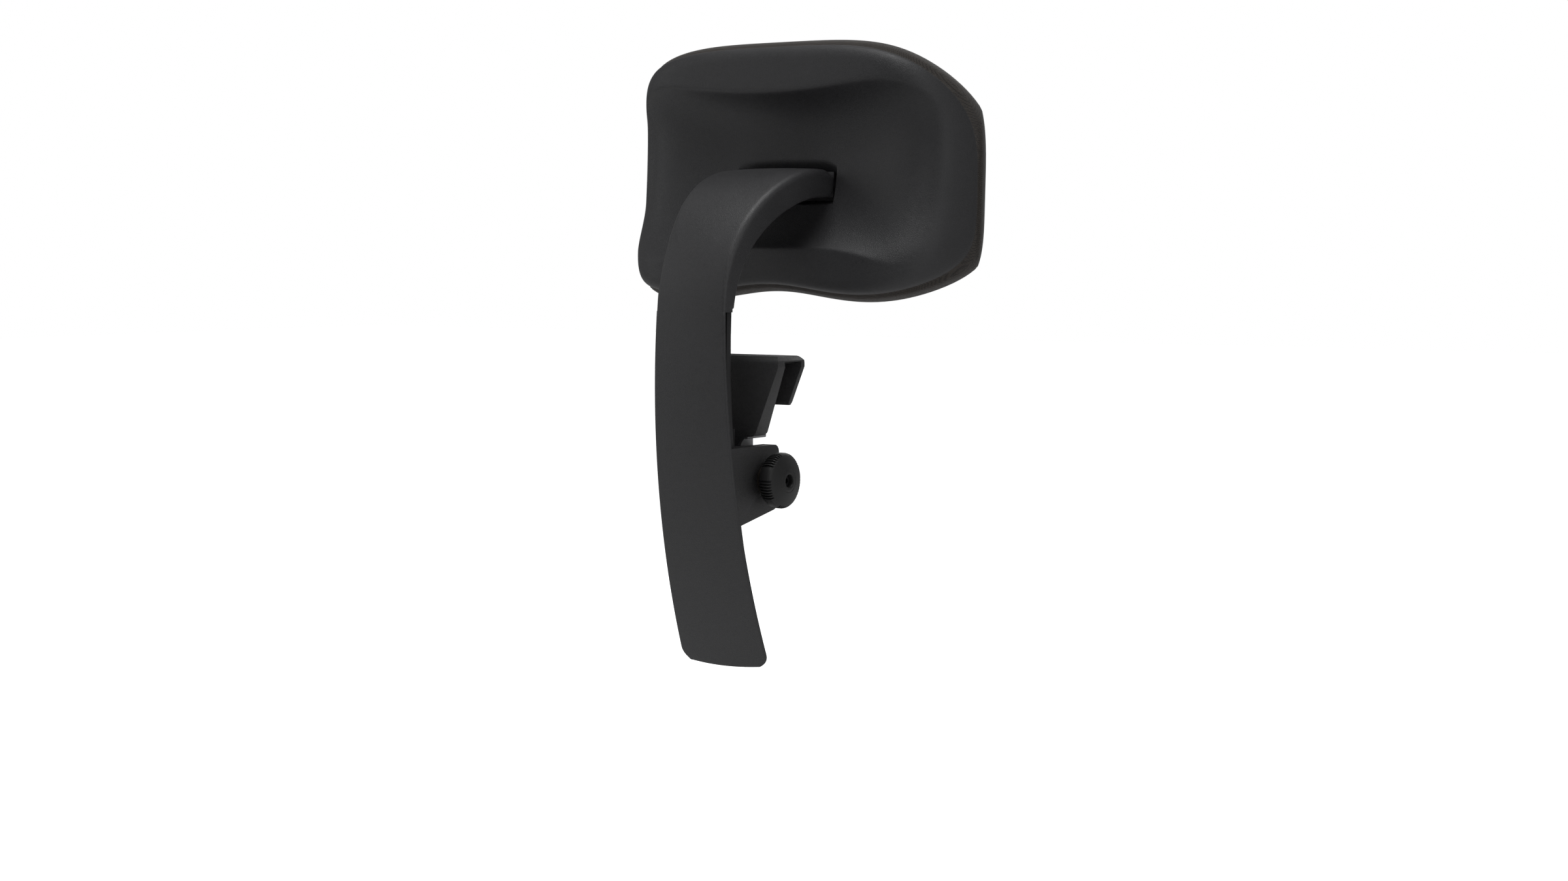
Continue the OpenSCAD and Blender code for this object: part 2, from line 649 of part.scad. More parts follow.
// Pocket for the arm's barrel, in (y, v) about the pivot
module pocket_profile(grow) {
    translate([piv_y, piv_v]) polygon([[-pocket_floor - grow, -11.5 - grow], [-pocket_floor - grow, 9.5 + grow],
        [-11.5, 11.5 + grow], [-7, 18 + grow], [-5, 20 + grow], [40, 44], [40, -50], [-2, -14.5 - grow]]);
}

bracket_screw_x = [-31, -8, 8, 31];
tray_screw_points = [[-104, 20], [104, 20], [-104, -36], [104, -36], [-62, 52], [62, 52]];

module rear_shell() {
    color([0.1, 0.1, 0.1]) in_pad() difference() {
        union() {
            skin(concat([for (r = back_rings) ring_back(r)], [for (r = edge_rings) ring_back(r)],
                [ring_flat(wall, groove)], [ring_inner([edge_round, 1])],
                [for (r = reversed(back_rings)) ring_inner(r)]));
            intersection() {
                union() {
                    side_extrude(-pocket_half_w - wall, pocket_half_w + wall) pocket_profile(wall);
                    for (p = tray_screw_points) y_cylinder(4.5, tray_y(p[0], 30) + 1.4, back_y(p[0], p[1]) - 1, p[0], p[1]);
                }
                in_front_of_back(-60);
            }
        }
        side_extrude(-pocket_half_w, pocket_half_w) pocket_profile(0);
        for (x = bracket_screw_x) y_cylinder(2.2, -60, 0, x, piv_v);
        for (p = tray_screw_points) y_cylinder(1.5, -60, back_y(p[0], p[1]) - 3, p[0], p[1]);
    }
}

bracket_t = 2.8;
ear_r = 8;

module hinge_bracket() {
    y0 = piv_y - pocket_floor;
    color("dimgray") in_pad() difference() {
        union() {
            box([-36.5, y0, piv_v - 9], [36.5, y0 + bracket_t, piv_v + 8]);
            for (s = [-1, 1]) translate([s * (ear_x + ear_t / 2) - ear_t / 2, 0, 0]) {
                x_cylinder(ear_r, 0, ear_t, piv_y, piv_v);
                box([0, y0 + e, piv_v - 5], [ear_t, piv_y, piv_v + 5]);
            }
        }
        x_cylinder(axle_r, -60, 60, piv_y, piv_v);
        for (x = bracket_screw_x) y_cylinder(1.75, -60, 20, x, piv_v);
    }
}

module hinge_screws() {
    y0 = piv_y - pocket_floor - wall;
    color("silver") in_pad() for (x = bracket_screw_x) translate([x, y0, piv_v]) rotate([-90, 0, 0])
        cap_screw(3.4, 1.5, 1.7, wall + bracket_t - 0.2);
}

module pivot_axle() {
    color("silver") in_pad() x_cylinder(axle_r, -axle_half, axle_half, piv_y, piv_v);
}

module friction_washers() {
    color("ivory") in_pad() for (s = [-1, 1], x = [ear_x - 0.9, ear_x + ear_t + 0.1]) difference() {
        x_cylinder(7.5, s > 0 ? x : -x - 0.8, s > 0 ? x + 0.8 : -x, piv_y, piv_v);
        x_cylinder(axle_r + close_fit, -60, 60, piv_y, piv_v);
    }
}

tray_rings = [for (s = [0.1, 0.3, 0.5, 0.7, 0.86, 1]) [24, s]];
tray_edge = [for (d = [20, 17, 13, 10, 7, 4]) [d, 1]];

module tray() {
    color([0.15, 0.15, 0.15]) in_pad() difference() {
        skin(concat([for (r = tray_rings) ring_tray(r, 0)], [for (r = tray_edge) ring_tray(r, 0)],
            [for (r = reversed(tray_edge)) ring_tray(r, tray_t)], [for (r = reversed(tray_rings)) ring_tray(r, tray_t)]));
        for (p = tray_screw_points) y_cylinder(1.8, -90, 40, p[0], p[1]);
    }
}

module tray_screws() {
    color("silver") in_pad() for (p = tray_screw_points)
        translate([p[0], tray_y(p[0], 30) - tray_t - 1.3, p[1]]) rotate([-90, 0, 0])
            cap_screw(3.2, 1.8, 1.45, 6.6);
}

// Closed loop of rings, for a strip that runs round the headrest
module loop(rings) {
    n = points;
    count = len(rings);
    faces = [for (r = [0:count - 1], i = [0:n - 1]) let (q = (r + 1) % count, j = (i + 1) % n) each [
        [r * n + i, q * n + i, q * n + j], [r * n + i, q * n + j, r * n + j]]];
    polyhedron(points = [for (r = rings) each r], faces = faces, convexity = 6);
}

module edge_trim() {
    color([0.02, 0.02, 0.02]) in_pad()
        loop([ring_flat(5, groove - 0.6), ring_flat(1.5, groove - 0.5), ring_flat(1.5, -0.35), ring_flat(5, -0.35)]);
}

// Side of the cushion: [how far out from the rim, share of the depth]
cushion_side = [[0.4, 0.015], [2.6, 0.05], [4.2, 0.14], [4.6, 0.26], [3.8, 0.4], [1.6, 0.54], [-2.4, 0.68],
    [-8, 0.8], [-15, 0.89], [-24, 0.95]];
cushion_front = [[0.86, 0.975], [0.66, 0.995], [0.44, 1], [0.2, 1], [0.06, 1]];

function cushion_point(p, share, o) = let (
    depth = share * (pad_depth + 0.25 * rim_y(p[0])) + (share > 0.6 ? o : 0),
    lean_in = 1 - depth * 0.0035 * side(p[0]))
    [p[0] * lean_in, rim_y(p[0]) - depth, p[1]];
function cushion_rings(o) = concat(
    [for (c = cushion_side) [for (t = directions()) cushion_point(place([-c[0] - o, 1], t), c[1], o)]],
    [for (c = cushion_front) [for (t = directions()) cushion_point(place([24 - o, c[0]], t), c[1], o)]]);

module foam_cushion() {
    color([0.35, 0.35, 0.33]) in_pad() difference() {
        skin(concat([for (r = tray_rings) ring_tray(r, tray_t + 0.05)],
            [for (r = tray_edge) ring_tray(r, tray_t + 0.05)], cushion_rings(-fabric_t - 0.05)), flip = true);
        for (p = tray_screw_points) y_cylinder(4.2, tray_y(p[0], 30) - tray_t - 3.8, 20, p[0], p[1]);
    }
}

module fabric_cover() {
    color([0.13, 0.12, 0.11]) in_pad()
        skin(concat(reversed(cushion_rings(-fabric_t)), cushion_rings(0)));
}

// ---- nodes ----

hook();
seat_liner();
rear_liner();
clamp_body();
body_cover();
body_cover_screws();
hook_screws();
screw_bushes();
screw_end_cap();
side_glides();
brake_shoe();
brake_spring();
clamp_screw();
retaining_ring();
knob();
knob_washer();
knob_screw();
wedge_nut();
clamp_jaw();
jaw_pad();
arm();
arm_rail();
rail_screws();
lower_stop();
upper_stop();
stop_screws();
pivot_bushes();
axle_plugs();
rear_shell();
hinge_bracket();
hinge_screws();
pivot_axle();
friction_washers();
tray();
tray_screws();
edge_trim();
foam_cushion();
fabric_cover();
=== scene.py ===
# %% [markdown]
# A chair headrest that clamps on the top rail of an office chair. The solid model comes from the frame, and
# this script gives each part its finished shape and surface. Everything is in metres; +Z is up and -Y is
# the sitter's side.

# %% Load the frame
import json
import math

import bmesh
import bpy
from mathutils import Matrix, Vector


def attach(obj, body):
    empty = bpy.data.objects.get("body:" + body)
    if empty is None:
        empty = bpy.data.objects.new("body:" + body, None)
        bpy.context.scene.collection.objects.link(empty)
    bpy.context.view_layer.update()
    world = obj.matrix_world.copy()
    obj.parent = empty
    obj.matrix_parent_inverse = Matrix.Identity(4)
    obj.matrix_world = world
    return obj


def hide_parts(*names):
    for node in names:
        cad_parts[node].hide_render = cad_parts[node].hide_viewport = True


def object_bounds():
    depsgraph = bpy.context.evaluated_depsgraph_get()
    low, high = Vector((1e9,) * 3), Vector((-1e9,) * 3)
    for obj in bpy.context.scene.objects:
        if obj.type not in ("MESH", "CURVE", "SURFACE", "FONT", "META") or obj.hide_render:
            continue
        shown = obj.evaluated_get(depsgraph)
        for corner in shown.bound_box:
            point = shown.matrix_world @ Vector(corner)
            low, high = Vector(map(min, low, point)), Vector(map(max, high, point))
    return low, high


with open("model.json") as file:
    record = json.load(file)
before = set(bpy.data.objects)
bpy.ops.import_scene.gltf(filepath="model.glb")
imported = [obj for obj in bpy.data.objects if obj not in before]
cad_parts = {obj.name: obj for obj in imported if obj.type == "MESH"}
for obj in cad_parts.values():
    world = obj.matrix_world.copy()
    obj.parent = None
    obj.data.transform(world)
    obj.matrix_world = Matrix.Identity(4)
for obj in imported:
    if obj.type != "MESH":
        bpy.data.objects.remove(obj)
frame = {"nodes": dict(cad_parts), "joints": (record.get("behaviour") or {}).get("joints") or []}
nodes = frame["nodes"]
joints = {j["name"]: j for j in frame["joints"]}
cad_low, cad_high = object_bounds()
print("CAD box:", [round(v, 4) for v in (*cad_low, *cad_high)])
MM = 0.001

# %% [markdown]
# Finishes first. Moulded black plastic is hardly ever smooth: the mould is etched with a fine leather-like
# grain, so highlights break up into tiny flecks. The grain is a group, because the shell, arm and hook all
# have it.


# %% Helpers for node groups
def new_group(name, inputs, outputs):
    """A shader node group with float, colour or vector sockets."""
    group = bpy.data.node_groups.new(name, "ShaderNodeTree")
    kinds = {"float": "NodeSocketFloat", "color": "NodeSocketColor", "vector": "NodeSocketVector"}
    for label, kind, value in inputs:
        socket = group.interface.new_socket(name=label, in_out="INPUT", socket_type=kinds[kind])
        socket.default_value = value
    for label, kind in outputs:
        group.interface.new_socket(name=label, in_out="OUTPUT", socket_type=kinds[kind])
    return group, group.nodes.new("NodeGroupInput"), group.nodes.new("NodeGroupOutput")


def add(tree, kind, links=None, **settings):
    """Adds a node, sets its properties and feeds its inputs: {input: value or output socket}."""
    node = tree.nodes.new(kind)
    for key, value in settings.items():
        setattr(node, key, value)
    for key, value in (links or {}).items():
        if isinstance(value, bpy.types.NodeSocket):
            tree.links.new(value, node.inputs[key])
        else:
            node.inputs[key].default_value = value
    return node


def use_group(tree, group, links=None):
    return add(tree, "ShaderNodeGroup", links, node_tree=group)


def new_material(name):
    """A material that holds only a principled shader and its output."""
    mat = bpy.data.materials.new(name)
    mat.use_nodes = True
    tree = mat.node_tree
    tree.nodes.clear()
    out = add(tree, "ShaderNodeOutputMaterial")
    shader = add(tree, "ShaderNodeBsdfPrincipled")
    tree.links.new(shader.outputs[0], out.inputs[0])
    return mat, tree, shader


# %% Leather grain of moulded plastic
grain, g_in, g_out = new_group(
    "moulded_grain",
    [("Vector", "vector", (0, 0, 0)), ("Pebble size", "float", 1.1), ("Strength", "float", 0.5)],
    [("Normal", "vector"), ("Pits", "float")],
)
warp = add(grain, "ShaderNodeTexNoise", {"Vector": g_in.outputs["Vector"], "Scale": 900.0, "Detail": 1.0})
shift = add(grain, "ShaderNodeVectorMath", {0: warp.outputs["Color"], 1: (0.5, 0.5, 0.5)},
            operation="SUBTRACT")
small = add(grain, "ShaderNodeVectorMath", {0: shift.outputs[0], 3: 0.0007}, operation="SCALE")
moved = add(grain, "ShaderNodeVectorMath", {0: g_in.outputs["Vector"], 1: small.outputs[0]}, operation="ADD")
per_size = add(grain, "ShaderNodeMath", {0: 1000.0, 1: g_in.outputs["Pebble size"]}, operation="DIVIDE")
pebbles = add(grain, "ShaderNodeTexVoronoi", {"Vector": moved.outputs[0], "Scale": per_size.outputs[0]},
              feature="DISTANCE_TO_EDGE")
valley = add(grain, "ShaderNodeMapRange", {0: pebbles.outputs["Distance"], 1: 0.0, 2: 0.22, 3: 0.0, 4: 1.0},
             interpolation_type="SMOOTHSTEP")
fine = add(grain, "ShaderNodeTexNoise", {"Vector": g_in.outputs["Vector"], "Scale": 2600.0, "Detail": 2.0})
height = add(grain, "ShaderNodeMath", {0: fine.outputs[0], 1: 0.35, 2: valley.outputs[0]},
             operation="MULTIPLY_ADD")
bump = add(grain, "ShaderNodeBump", {"Strength": g_in.outputs["Strength"], "Distance": 0.00012,
                                     "Height": height.outputs[0]})
pits = add(grain, "ShaderNodeMath", {0: 1.0, 1: valley.outputs[0]}, operation="SUBTRACT")
grain.links.new(bump.outputs[0], g_out.inputs["Normal"])
grain.links.new(pits.outputs[0], g_out.inputs["Pits"])

# %% [markdown]
# Faint dust settles in broad clouds, and every convex edge gets a painted highlight, a paler colour. Both are
# masks, so one group gives them to every material.

# %% Painted edge highlight and dust masks
dust_and_highlight_group, w_in, w_out = new_group(
    "dust_and_edge_highlight",
    [("Vector", "vector", (0, 0, 0)), ("Cloud size", "float", 40.0)],
    [("Edge", "float"), ("Dust", "float")],
)
pointy = add(dust_and_highlight_group, "ShaderNodeNewGeometry")
# Painted highlight: a mask of every convex edge, found by pointiness.
edge = add(dust_and_highlight_group, "ShaderNodeMapRange", {0: pointy.outputs["Pointiness"], 1: 0.52, 2: 0.6, 3: 0.0, 4: 1.0})
per_cloud = add(dust_and_highlight_group, "ShaderNodeMath", {0: 1000.0, 1: w_in.outputs["Cloud size"]}, operation="DIVIDE")
cloud = add(dust_and_highlight_group, "ShaderNodeTexNoise", {"Vector": w_in.outputs["Vector"], "Scale": per_cloud.outputs[0],
                                         "Detail": 4.0, "Roughness": 0.6})
dust = add(dust_and_highlight_group, "ShaderNodeMapRange", {0: cloud.outputs[0], 1: 0.38, 2: 0.7, 3: 0.0, 4: 1.0})
dust_and_highlight_group.links.new(edge.outputs[0], w_out.inputs["Edge"])
dust_and_highlight_group.links.new(dust.outputs[0], w_out.inputs["Dust"])


# %% Plastic with grain
def plastic(name, colour, roughness, pebble=1.1, strength=0.5, lift=0.35, sheen=0.0, specular=0.5):
    """Moulded plastic: a base colour, paler where dusty and paler on every convex edge as a painted
    highlight, with grain in its normal.
    """
    mat, tree, shader = new_material(name)
    shader.inputs["Specular IOR Level"].default_value = specular
    shader.inputs["Sheen Weight"].default_value = sheen
    coords = add(tree, "ShaderNodeTexCoord")
    place = coords.outputs["Object"]
    grainy = use_group(tree, grain, {"Vector": place, "Pebble size": pebble, "Strength": strength})
    dust_and_highlight = use_group(tree, dust_and_highlight_group, {"Vector": place})
    pale = tuple(min(1, c * (1 + lift) + 0.004) for c in colour)
    dark = tuple(c * 0.8 for c in colour)
    base = mix_colour(tree, grainy.outputs["Pits"], colour, dark)
    dusty = mix_colour(tree, scaled(tree, dust_and_highlight.outputs["Dust"], 0.22), base, pale)
    # Painted highlight: convex edges are mixed halfway towards the paler colour.
    edge_highlighted = mix_colour(tree, scaled(tree, dust_and_highlight.outputs["Edge"], 0.5), dusty, pale)
    rough = add(tree, "ShaderNodeMath", {0: dust_and_highlight.outputs["Dust"], 1: 0.07, 2: roughness},
                operation="MULTIPLY_ADD")
    tree.links.new(edge_highlighted, shader.inputs["Base Color"])
    tree.links.new(rough.outputs[0], shader.inputs["Roughness"])
    tree.links.new(grainy.outputs["Normal"], shader.inputs["Normal"])
    return mat


def mix_colour(tree, factor, a, b):
    """Mixes two colours, each a socket or a plain triple, and gives the output socket."""
    node = tree.nodes.new("ShaderNodeMix")
    node.data_type = "RGBA"
    tree.links.new(factor, node.inputs[0])
    for index, value in ((6, a), (7, b)):
        if isinstance(value, bpy.types.NodeSocket):
            tree.links.new(value, node.inputs[index])
        else:
            node.inputs[index].default_value = (*value, 1)
    return node.outputs[2]


def scaled(tree, socket, by):
    return add(tree, "ShaderNodeMath", {0: socket, 1: by}, operation="MULTIPLY").outputs[0]


# %% The plastics
shell_finish = plastic("grained_shell", (0.024, 0.024, 0.026), 0.46, pebble=1.0, strength=0.55)
arm_finish = plastic("grained_arm", (0.030, 0.030, 0.032), 0.42, pebble=1.0, strength=0.5)
hook_finish = plastic("grained_hook", (0.021, 0.021, 0.022), 0.45, pebble=0.9, strength=0.6)
rail_finish = plastic("smooth_rail_plastic", (0.012, 0.012, 0.013), 0.5, pebble=0.5, strength=0.12)
knob_finish = plastic("satin_knob", (0.0045, 0.0045, 0.005), 0.5, pebble=0.6, strength=0.15)
inner_finish = plastic("inner_tray_plastic", (0.03, 0.03, 0.031), 0.6, pebble=1.6, strength=0.3)
acetal_finish = plastic("ivory_acetal", (0.62, 0.6, 0.54), 0.4, pebble=2.4, strength=0.06, lift=0.05)
rubber_finish = plastic("dull_rubber", (0.012, 0.012, 0.012), 0.85, pebble=0.4, strength=0.35, specular=0.3)

# %% [markdown]
# The metal inside is plain: zinc-plated screws, a phosphated hinge, a cast jaw and a brass nut. Brushing or
# casting shows as streaks or blotches in the roughness, so one recipe takes a stretch for its noise.


# %% Metals
def metal(name, colour, roughness, stretch=(1, 1, 1), blotch=900.0, spread=0.18):
    mat, tree, shader = new_material(name)
    shader.inputs["Metallic"].default_value = 1.0
    coords = add(tree, "ShaderNodeTexCoord")
    pulled = add(tree, "ShaderNodeMapping", {"Vector": coords.outputs["Object"], "Scale": stretch})
    streak = add(tree, "ShaderNodeTexNoise", {"Vector": pulled.outputs[0], "Scale": blotch, "Detail": 4.0})
    dust_and_highlight = use_group(tree, dust_and_highlight_group, {"Vector": coords.outputs["Object"], "Cloud size": 12.0})
    rough = add(tree, "ShaderNodeMapRange", {0: streak.outputs[0], 1: 0.3, 2: 0.7, 3: roughness - spread / 2,
                                             4: roughness + spread / 2})
    dull = tuple(c * 0.6 for c in colour)
    base = mix_colour(tree, scaled(tree, dust_and_highlight.outputs["Dust"], 0.5), colour, dull)
    ridge = add(tree, "ShaderNodeBump", {"Strength": 0.25, "Distance": 0.00004, "Height": streak.outputs[0]})
    tree.links.new(base, shader.inputs["Base Color"])
    tree.links.new(rough.outputs[0], shader.inputs["Roughness"])
    tree.links.new(ridge.outputs[0], shader.inputs["Normal"])
    return mat


zinc_finish = metal("zinc_plated_screws", (0.55, 0.56, 0.58), 0.35)
spring_finish = metal("blued_spring_steel", (0.16, 0.17, 0.2), 0.3, stretch=(8, 1, 1))
hinge_finish = metal("phosphated_hinge", (0.12, 0.12, 0.125), 0.55, blotch=500.0)
brass_finish = metal("turned_brass", (0.72, 0.52, 0.24), 0.32, stretch=(6, 1, 1))
bronze_finish = metal("oiled_bronze", (0.1, 0.085, 0.07), 0.5, stretch=(6, 1, 1))
black_screw_finish = metal("blackened_screw", (0.03, 0.03, 0.032), 0.5)
jaw_finish = metal("cast_jaw", (0.38, 0.38, 0.39), 0.55, blotch=1500.0, spread=0.25)

# %% [markdown]
# The cushion's cover is a fine warp-knitted mesh: rows of tiny eyelets about a millimetre apart, warm
# brown-black, with a soft nap at its edges. A weave has to follow the cloth, so it reads a UV map measured
# along the surface.

# %% Knitted mesh
knit, k_in, k_out = new_group(
    "knit_mesh",
    [("Vector", "vector", (0, 0, 0)), ("Pitch", "float", 1.25), ("Relief", "float", 0.8)],
    [("Hole", "float"), ("Thread", "float"), ("Normal", "vector")],
)
per_pitch = add(knit, "ShaderNodeMath", {0: 1.0, 1: k_in.outputs["Pitch"]}, operation="DIVIDE")
split = add(knit, "ShaderNodeSeparateXYZ", {"Vector": k_in.outputs["Vector"]})
across = add(knit, "ShaderNodeMath", {0: split.outputs[0], 1: per_pitch.outputs[0]}, operation="MULTIPLY")
up = add(knit, "ShaderNodeMath", {0: split.outputs[1], 1: per_pitch.outputs[0]}, operation="MULTIPLY")
slant_a = add(knit, "ShaderNodeMath", {0: across.outputs[0], 1: up.outputs[0]}, operation="ADD")
slant_b = add(knit, "ShaderNodeMath", {0: across.outputs[0], 1: up.outputs[0]}, operation="SUBTRACT")
waves = []
for slant in (slant_a, slant_b):
    turn = add(knit, "ShaderNodeMath", {0: slant.outputs[0], 1: math.pi}, operation="MULTIPLY")
    wave = add(knit, "ShaderNodeMath", {0: turn.outputs[0]}, operation="SINE")
    waves.append(add(knit, "ShaderNodeMath", {0: wave.outputs[0]}, operation="ABSOLUTE"))
cell = add(knit, "ShaderNodeMath", {0: waves[0].outputs[0], 1: waves[1].outputs[0]}, operation="MULTIPLY")
hole = add(knit, "ShaderNodeMapRange", {0: cell.outputs[0], 1: 0.42, 2: 0.78, 3: 0.0, 4: 1.0},
           interpolation_type="SMOOTHSTEP")
fibre_up = add(knit, "ShaderNodeMath", {0: up.outputs[0], 1: 34.0}, operation="MULTIPLY")
fibre = add(knit, "ShaderNodeMath", {0: fibre_up.outputs[0]}, operation="SINE")
thread = add(knit, "ShaderNodeMapRange", {0: fibre.outputs[0], 1: -1.0, 2: 1.0, 3: 0.6, 4: 1.0})
lift_up = add(knit, "ShaderNodeMath", {0: hole.outputs[0], 1: -1.0, 2: thread.outputs[0]},
              operation="MULTIPLY_ADD")
ridge = add(knit, "ShaderNodeBump", {"Strength": k_in.outputs["Relief"], "Distance": 0.0003,
                                     "Height": lift_up.outputs[0]})
knit.links.new(hole.outputs[0], k_out.inputs["Hole"])
knit.links.new(thread.outputs[0], k_out.inputs["Thread"])
knit.links.new(ridge.outputs[0], k_out.inputs["Normal"])


def cloth(name, colour, eyelet, pitch=1.25, relief=0.8, sheen=0.25):
    mat, tree, shader = new_material(name)
    shader.inputs["Sheen Weight"].default_value = sheen
    shader.inputs["Sheen Roughness"].default_value = 0.5
    shader.inputs["Specular IOR Level"].default_value = 0.25
    along = add(tree, "ShaderNodeUVMap", uv_map="cloth")
    weave = use_group(tree, knit, {"Vector": along.outputs[0], "Pitch": pitch, "Relief": relief})
    coords = add(tree, "ShaderNodeTexCoord")
    dust_and_highlight = use_group(tree, dust_and_highlight_group, {"Vector": coords.outputs["Object"], "Cloud size": 60.0})
    pale = tuple(c * 1.5 for c in colour)
    clouded = mix_colour(tree, scaled(tree, dust_and_highlight.outputs["Dust"], 0.35), colour, pale)
    holed = mix_colour(tree, weave.outputs["Hole"], clouded, eyelet)
    rough = add(tree, "ShaderNodeMapRange", {0: weave.outputs["Thread"], 1: 0.6, 2: 1.0, 3: 0.95, 4: 0.78})
    tree.links.new(holed, shader.inputs["Base Color"])
    tree.links.new(rough.outputs[0], shader.inputs["Roughness"])
    tree.links.new(weave.outputs["Normal"], shader.inputs["Normal"])
    return mat


cover_finish = cloth("knitted_cover", (0.040, 0.034, 0.029), (0.012, 0.010, 0.009))
foam_finish = plastic("open_cell_foam", (0.2, 0.2, 0.19), 0.95, pebble=0.8, strength=0.9, specular=0.1)

# %% [markdown]
# Most small parts keep their CAD shape and only take a finish. Nearly all are inside the clamp, hinge or
# cushion.

# %% Finishes for the CAD parts
made_of = [
    (rubber_finish, "seat_liner rear_liner jaw_pad brake_shoe edge_trim"),
    (zinc_finish, "body_cover_screws hook_screws clamp_screw knob_washer rail_screws"),
    (zinc_finish, "stop_screws hinge_screws tray_screws"),
    (black_screw_finish, "knob_screw"),
    (spring_finish, "retaining_ring brake_spring"),
    (hinge_finish, "hinge_bracket pivot_axle"),
    (bronze_finish, "screw_bushes"),
    (brass_finish, "wedge_nut"),
    (jaw_finish, "clamp_jaw"),
    (acetal_finish, "side_glides pivot_bushes friction_washers"),
    (inner_finish, "tray"),
    (rail_finish, "lower_stop upper_stop arm_rail body_cover"),
    (hook_finish, "screw_end_cap hook clamp_body"),
    (arm_finish, "axle_plugs arm"),
    (knob_finish, "knob"),
    (shell_finish, "rear_shell"),
    (foam_finish, "foam_cushion fabric_cover"),
]
finishes = {name: finish for finish, names in made_of for name in names.split()}
for name, finish in finishes.items():
    nodes[name].data.materials.clear()
    nodes[name].data.materials.append(finish)
print("CAD parts with a finish:", len(finishes), "of", len(nodes))


# %% Helpers that turn a bmesh into a finished piece
def finished(name, bm, body, finish, stands_for=(), sharp=35.0, recalculate=True):
    """Makes the object, shades it smooth except at sharp edges, and hangs it on its body."""
    if recalculate:
        bmesh.ops.recalc_face_normals(bm, faces=bm.faces)
    mesh = bpy.data.meshes.new(name)
    bm.to_mesh(mesh)
    bm.free()
    obj = bpy.data.objects.new(name, mesh)
    bpy.context.scene.collection.objects.link(obj)
    mesh.materials.append(finish)
    mesh.shade_smooth()
    mesh.set_sharp_from_angle(angle=math.radians(sharp))
    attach(obj, body)
    if stands_for:
        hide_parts(*stands_for)
    print(name, len(mesh.polygons), "faces")
    return obj


def applied(obj, sharp=None):
    """Replaces the object's mesh with the result of its modifiers."""
    graph = bpy.context.evaluated_depsgraph_get()
    mesh = bpy.data.meshes.new_from_object(obj.evaluated_get(graph), depsgraph=graph)
    obj.modifiers.clear()
    obj.data = mesh
    if sharp is not None:
        mesh.shade_smooth()
        mesh.set_sharp_from_angle(angle=math.radians(sharp))


def loft(sections):
    """Skins closed sections, lists of points of one length, by extruding a ring from each to the next."""
    bm = bmesh.new()
    count = len(sections[0])
    ring = bmesh.ops.create_circle(bm, segments=count, radius=1.0)["verts"]
    for vert, point in zip(ring, sections[0]):
        vert.co = point
    first = list(ring)
    for section in sections[1:]:
        edges = [bm.edges.get((ring[i], ring[(i + 1) % count])) for i in range(count)]
        made = bmesh.ops.extrude_edge_only(bm, edges=edges)["geom"]
        fresh = {v for v in made if isinstance(v, bmesh.types.BMVert)}
        following = []
        for vert in ring:
            following.append(next(e.other_vert(vert) for e in vert.link_edges if e.other_vert(vert) in fresh))
        for vert, point in zip(following, section):
            vert.co = point
        ring = following
    return bm, first, ring


def closed(bm, *rings):
    """Fills each ring of vertices with one face."""
    for ring in rings:
        bmesh.ops.contextual_create(bm, geom=ring)


# %% [markdown]
# The headrest's numbers, in millimetres, are the ones the CAD was drawn with. The rim's outline is two
# superellipses, and the wrap carries its ends forward. A place on the shell is (x, v), with v up its own
# tilted axis.

# %% Measures of the headrest
PAD_W, PAD_H, PAD_DEPTH, WRAP, LEAN = 270.0, 169.0, 48.0, 47.0, math.radians(2.5)
PAD_Y, PAD_Z, WIDE_V, RIM_LIFT = -45.0, 131.0, -17.4, 9.0
RIM_UP, RIM_DOWN = PAD_H / 2 + 13.5, PAD_H / 2 - 13.5
GROOVE, EDGE_ROUND, WALL = 1.1, 9.0, 2.4
pivot = Vector(joints["headrest_tilt"]["pos_m"]) / MM
down, out_ = pivot.z - PAD_Z, pivot.y - PAD_Y
PIVOT_Y = out_ * math.cos(LEAN) + down * math.sin(LEAN)
PIVOT_V = down * math.cos(LEAN) - out_ * math.sin(LEAN)


def smooth(t):
    t = min(1.0, max(0.0, t))
    return t * t * (3 - 2 * t)


def rim_point(turn, inset):
    """Outline of the rim, moved inwards by inset. turn is an angle in radians."""
    c, s = math.cos(turn), math.sin(turn)
    n = 3.7 if s >= 0 else 4.4
    half = (RIM_UP if s >= 0 else RIM_DOWN) - inset
    k = (abs(c) ** n + abs(s) ** n) ** (-1 / n)
    x = (PAD_W / 2 - inset) * k * c
    lift = 0.0 if s >= 0 else RIM_LIFT * math.exp(-((x / 55) ** 2)) * abs(s)
    return x, WIDE_V + half * k * s + lift


def side(x):
    return min(1.0, abs(x) / (PAD_W / 2))


def rim_y(x):
    return -WRAP * side(x) ** 8


def band_y(x, v):
    """Height of the raised band: even in the middle, and at the ends thin except at the corners."""
    end = 2.6 + 8.5 * smooth((-22 - v) / 36) + 3 * smooth((v - 30) / 30)
    return 6.5 + (end - 6.5) * side(x) ** 2


def to_world(x, y, v):
    """From the headrest's own millimetres to metres in the row's frame."""
    c, s = math.cos(LEAN), math.sin(LEAN)
    return Vector((x, PAD_Y + y * c - v * s, PAD_Z + y * s + v * c)) * MM


# %% [markdown]
# The shell's back is a wide raised band above and below a saddle-shaped dish. Real moulds blend the two
# with a soft S-curve. One height for each place on the shell gives that blend, the rolled edge and the
# hinge pocket, so the piece is a fine grid pushed out to the rim's outline and then lifted by that height.


# %% Height of the shell's back
def soft_min(a, b, reach):
    h = max(reach - abs(a - b), 0.0) / reach
    return min(a, b) - h * h * reach / 4


def dish_depth(x, v):
    """How far the saddle lies under the band."""
    floor = -20 + 22.2 * side(x) ** 2.6 + 6 * ((v - 12) / 45) ** 2
    return -soft_min(0.0, floor - band_y(x, v), 6.0)


